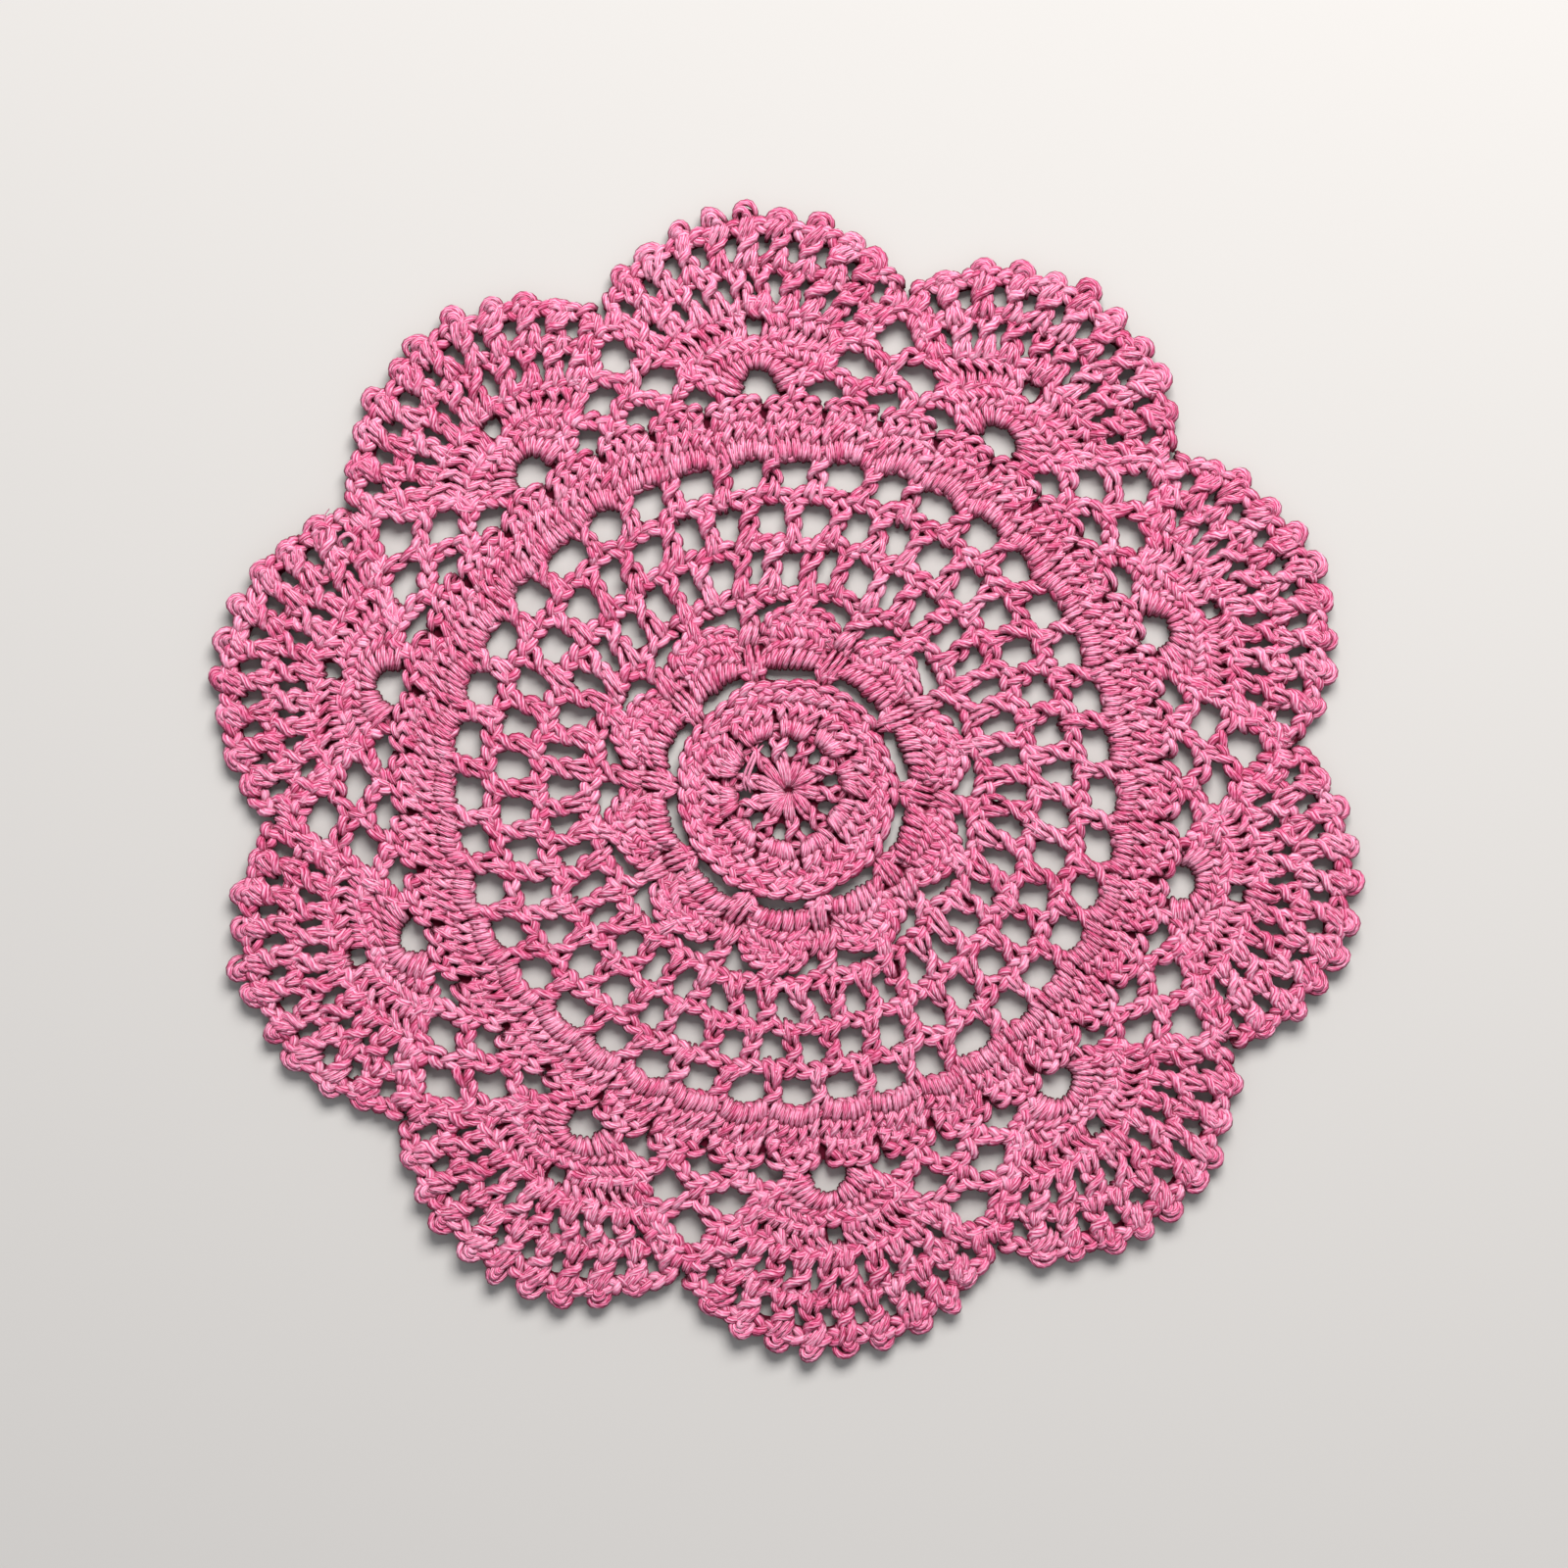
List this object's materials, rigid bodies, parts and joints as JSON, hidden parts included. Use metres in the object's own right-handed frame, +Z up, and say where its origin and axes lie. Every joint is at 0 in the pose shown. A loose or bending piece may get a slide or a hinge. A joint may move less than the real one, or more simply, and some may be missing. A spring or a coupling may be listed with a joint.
{
  "type": "crochet lace doily",
  "caption": "Round crochet lace doily in plied cotton yarn: solid middle, rounds of open net and scalloped petals edged with picots, lying flat.",
  "frame": {"origin": "on the surface the doily lies on, under the middle of its first round", "axes": "+Z up, out of the face that shows; +Y towards the top of the picture; the doily lies in X and Y"},
  "size_m": [0.2479, 0.2476, 0.003],
  "materials": {
    "cotton_yarn": "matt plied cotton yarn, pink, crocheted"
  },
  "bodies": {
    "root": {"doily": "cotton_yarn"}
  },
  "joints": []
}
